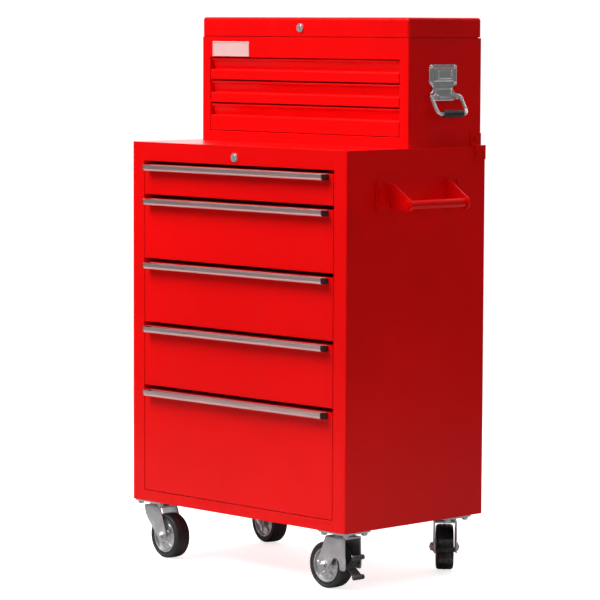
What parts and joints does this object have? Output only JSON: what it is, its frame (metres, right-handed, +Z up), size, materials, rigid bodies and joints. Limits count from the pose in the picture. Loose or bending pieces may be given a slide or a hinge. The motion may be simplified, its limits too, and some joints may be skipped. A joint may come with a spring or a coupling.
{
  "type": "rolling tool chest",
  "caption": "Steel roller cabinet with full-width drawers on swivel casters, carrying a shallower top chest with drawers and a hinged lid.",
  "frame": {"origin": "on the floor under the centre of the whole part's bounding box", "axes": "+X to the right seen from the front, +Y to the back (the drawers open towards -Y), +Z up"},
  "size_m": [0.7662, 0.446, 1.2],
  "materials": {
    "red_paint": "gloss red powder coat",
    "zinc_plate": "bright zinc plate",
    "chrome": "polished chrome",
    "pull_alloy": "satin anodised",
    "black_rubber": "satin",
    "hub_metal": "pressed and plated",
    "black_plastic": "fine grained",
    "badge_plastic": "moulded plate",
    "pedal_steel": "black coated"
  },
  "bodies": {
    "cabinet": {"cabinet_shell": "red_paint", "cabinet_top": "red_paint", "cabinet_floor": "red_paint", "cabinet_slide_outers": "zinc_plate", "side_handle_bracket_front": "red_paint", "side_handle_bracket_rear": "red_paint", "side_handle_bar": "red_paint", "fixing_bolts": "zinc_plate", "cabinet_lock_barrel": "chrome", "caster_plates": "zinc_plate", "chest_shell": "red_paint", "chest_floor": "red_paint", "chest_deck": "red_paint", "chest_runners": "zinc_plate", "lid_hinge_lower": "zinc_plate", "badge_plate": "badge_plastic", "tie_brackets": "red_paint", "chest_handle_plate_left": "chrome", "chest_handle_plate_right": "chrome"},
    "cabinet_lock_plug": {"cabinet_lock_plug": "chrome"},
    "lid": {"chest_lid": "red_paint", "lid_hinge_upper": "zinc_plate", "lid_lock_barrel": "chrome"},
    "lid_lock_plug": {"lid_lock_plug": "chrome"},
    "bail_left": {"chest_bail_left": "chrome", "bail_grip_left": "black_plastic"},
    "bail_right": {"chest_bail_right": "chrome", "bail_grip_right": "black_plastic"},
    "cabinet_drawer_1": {"cabinet_drawer_1": "red_paint", "cabinet_pull_1": "pull_alloy"},
    "slide_middle_1": {"slide_middle_1": "zinc_plate"},
    "cabinet_drawer_2": {"cabinet_drawer_2": "red_paint", "cabinet_pull_2": "pull_alloy"},
    "slide_middle_2": {"slide_middle_2": "zinc_plate"},
    "cabinet_drawer_3": {"cabinet_drawer_3": "red_paint", "cabinet_pull_3": "pull_alloy"},
    "slide_middle_3": {"slide_middle_3": "zinc_plate"},
    "cabinet_drawer_4": {"cabinet_drawer_4": "red_paint", "cabinet_pull_4": "pull_alloy"},
    "slide_middle_4": {"slide_middle_4": "zinc_plate"},
    "cabinet_drawer_5": {"cabinet_drawer_5": "red_paint", "cabinet_pull_5": "pull_alloy"},
    "slide_middle_5": {"slide_middle_5": "zinc_plate"},
    "chest_drawer_1": {"chest_drawer_1": "red_paint"},
    "chest_drawer_2": {"chest_drawer_2": "red_paint"},
    "chest_drawer_3": {"chest_drawer_3": "red_paint"},
    "fork_fl": {"caster_fork_fl": "zinc_plate"},
    "wheel_fl": {"caster_hub_fl": "hub_metal", "caster_tyre_fl": "black_rubber"},
    "fork_fr": {"caster_fork_fr": "zinc_plate"},
    "wheel_fr": {"caster_hub_fr": "hub_metal", "caster_tyre_fr": "black_rubber"},
    "brake_pedal_fr": {"brake_pedal_fr": "pedal_steel"},
    "fork_rl": {"caster_fork_rl": "zinc_plate"},
    "wheel_rl": {"caster_hub_rl": "hub_metal", "caster_tyre_rl": "black_rubber"},
    "fork_rr": {"caster_fork_rr": "zinc_plate"},
    "wheel_rr": {"caster_hub_rr": "hub_metal", "caster_tyre_rr": "black_rubber"},
    "brake_pedal_rr": {"brake_pedal_rr": "pedal_steel"}
  },
  "joints": [
    {"name": "cabinet_lock_turn", "type": "hinge", "parent": "cabinet", "child": "cabinet_lock_plug", "pos_m": [-0.0279, -0.203, 0.9], "axis": [0, 1, 0], "range_deg": [0, 90]},
    {"name": "lid_hinge", "type": "hinge", "parent": "cabinet", "child": "lid", "pos_m": [-0.0229, 0.22, 1.15725], "axis": [-1, 0, 0], "range_deg": [0, 95]},
    {"name": "lid_lock_turn", "type": "hinge", "parent": "lid", "child": "lid_lock_plug", "pos_m": [-0.0289, -0.008, 1.1769], "axis": [0, 1, 0], "range_deg": [0, 90]},
    {"name": "bail_left_swing", "type": "hinge", "parent": "cabinet", "child": "bail_left", "pos_m": [-0.3539, 0.0965, 1.033], "axis": [0, 1, 0], "range_deg": [0, 60]},
    {"name": "bail_right_swing", "type": "hinge", "parent": "cabinet", "child": "bail_right", "pos_m": [0.3081, 0.0965, 1.033], "axis": [0, -1, 0], "range_deg": [0, 60]},
    {"name": "cabinet_drawer_1_slide", "type": "slide", "parent": "cabinet", "child": "cabinet_drawer_1", "axis": [0, -1, 0], "range_m": [0, 0.35]},
    {"name": "slide_middle_1_slide", "type": "slide", "parent": "cabinet", "child": "slide_middle_1", "axis": [0, -1, 0], "range_m": [0, 0.175]},
    {"name": "cabinet_drawer_2_slide", "type": "slide", "parent": "cabinet", "child": "cabinet_drawer_2", "axis": [0, -1, 0], "range_m": [0, 0.35]},
    {"name": "slide_middle_2_slide", "type": "slide", "parent": "cabinet", "child": "slide_middle_2", "axis": [0, -1, 0], "range_m": [0, 0.175]},
    {"name": "cabinet_drawer_3_slide", "type": "slide", "parent": "cabinet", "child": "cabinet_drawer_3", "axis": [0, -1, 0], "range_m": [0, 0.35]},
    {"name": "slide_middle_3_slide", "type": "slide", "parent": "cabinet", "child": "slide_middle_3", "axis": [0, -1, 0], "range_m": [0, 0.175]},
    {"name": "cabinet_drawer_4_slide", "type": "slide", "parent": "cabinet", "child": "cabinet_drawer_4", "axis": [0, -1, 0], "range_m": [0, 0.35]},
    {"name": "slide_middle_4_slide", "type": "slide", "parent": "cabinet", "child": "slide_middle_4", "axis": [0, -1, 0], "range_m": [0, 0.175]},
    {"name": "cabinet_drawer_5_slide", "type": "slide", "parent": "cabinet", "child": "cabinet_drawer_5", "axis": [0, -1, 0], "range_m": [0, 0.35]},
    {"name": "slide_middle_5_slide", "type": "slide", "parent": "cabinet", "child": "slide_middle_5", "axis": [0, -1, 0], "range_m": [0, 0.175]},
    {"name": "chest_drawer_1_slide", "type": "slide", "parent": "cabinet", "child": "chest_drawer_1", "axis": [0, -1, 0], "range_m": [0, 0.13]},
    {"name": "chest_drawer_2_slide", "type": "slide", "parent": "cabinet", "child": "chest_drawer_2", "axis": [0, -1, 0], "range_m": [0, 0.13]},
    {"name": "chest_drawer_3_slide", "type": "slide", "parent": "cabinet", "child": "chest_drawer_3", "axis": [0, -1, 0], "range_m": [0, 0.13]},
    {"name": "caster_fl_swivel", "type": "hinge", "parent": "cabinet", "child": "fork_fl", "pos_m": [-0.3149, -0.162, 0.11], "axis": [0, 0, 1], "continuous": true},
    {"name": "caster_fl_roll", "type": "hinge", "parent": "fork_fl", "child": "wheel_fl", "pos_m": [-0.27699, -0.16465, 0.05], "axis": [0.0698, 0.9976, 0], "continuous": true},
    {"name": "caster_fr_swivel", "type": "hinge", "parent": "cabinet", "child": "fork_fr", "pos_m": [0.2691, -0.162, 0.11], "axis": [0, 0, 1], "continuous": true},
    {"name": "caster_fr_roll", "type": "hinge", "parent": "fork_fr", "child": "wheel_fr", "pos_m": [0.2311, -0.162, 0.05], "axis": [0, -1, 0], "continuous": true},
    {"name": "brake_pedal_fr_press", "type": "hinge", "parent": "fork_fr", "child": "brake_pedal_fr", "pos_m": [0.2881, -0.162, 0.053], "axis": [0, -1, 0], "range_deg": [0, 15]},
    {"name": "caster_rl_swivel", "type": "hinge", "parent": "cabinet", "child": "fork_rl", "pos_m": [-0.3149, 0.147, 0.11], "axis": [0, 0, 1], "continuous": true},
    {"name": "caster_rl_roll", "type": "hinge", "parent": "fork_rl", "child": "wheel_rl", "pos_m": [-0.27748, 0.1404, 0.05], "axis": [0.1736, 0.9848, 0], "continuous": true},
    {"name": "caster_rr_swivel", "type": "hinge", "parent": "cabinet", "child": "fork_rr", "pos_m": [0.2691, 0.147, 0.11], "axis": [0, 0, 1], "continuous": true},
    {"name": "caster_rr_roll", "type": "hinge", "parent": "fork_rr", "child": "wheel_rr", "pos_m": [0.24223, 0.17387, 0.05], "axis": [-0.7071, -0.7071, 0], "continuous": true},
    {"name": "brake_pedal_rr_press", "type": "hinge", "parent": "fork_rr", "child": "brake_pedal_rr", "pos_m": [0.28254, 0.13356, 0.053], "axis": [-0.7071, -0.7071, 0], "range_deg": [0, 15]}
  ],
  "couplings": [
    {"joint": "slide_middle_1_slide", "follows": "cabinet_drawer_1_slide", "ratio": 0.5},
    {"joint": "slide_middle_2_slide", "follows": "cabinet_drawer_2_slide", "ratio": 0.5},
    {"joint": "slide_middle_3_slide", "follows": "cabinet_drawer_3_slide", "ratio": 0.5},
    {"joint": "slide_middle_4_slide", "follows": "cabinet_drawer_4_slide", "ratio": 0.5},
    {"joint": "slide_middle_5_slide", "follows": "cabinet_drawer_5_slide", "ratio": 0.5}
  ]
}
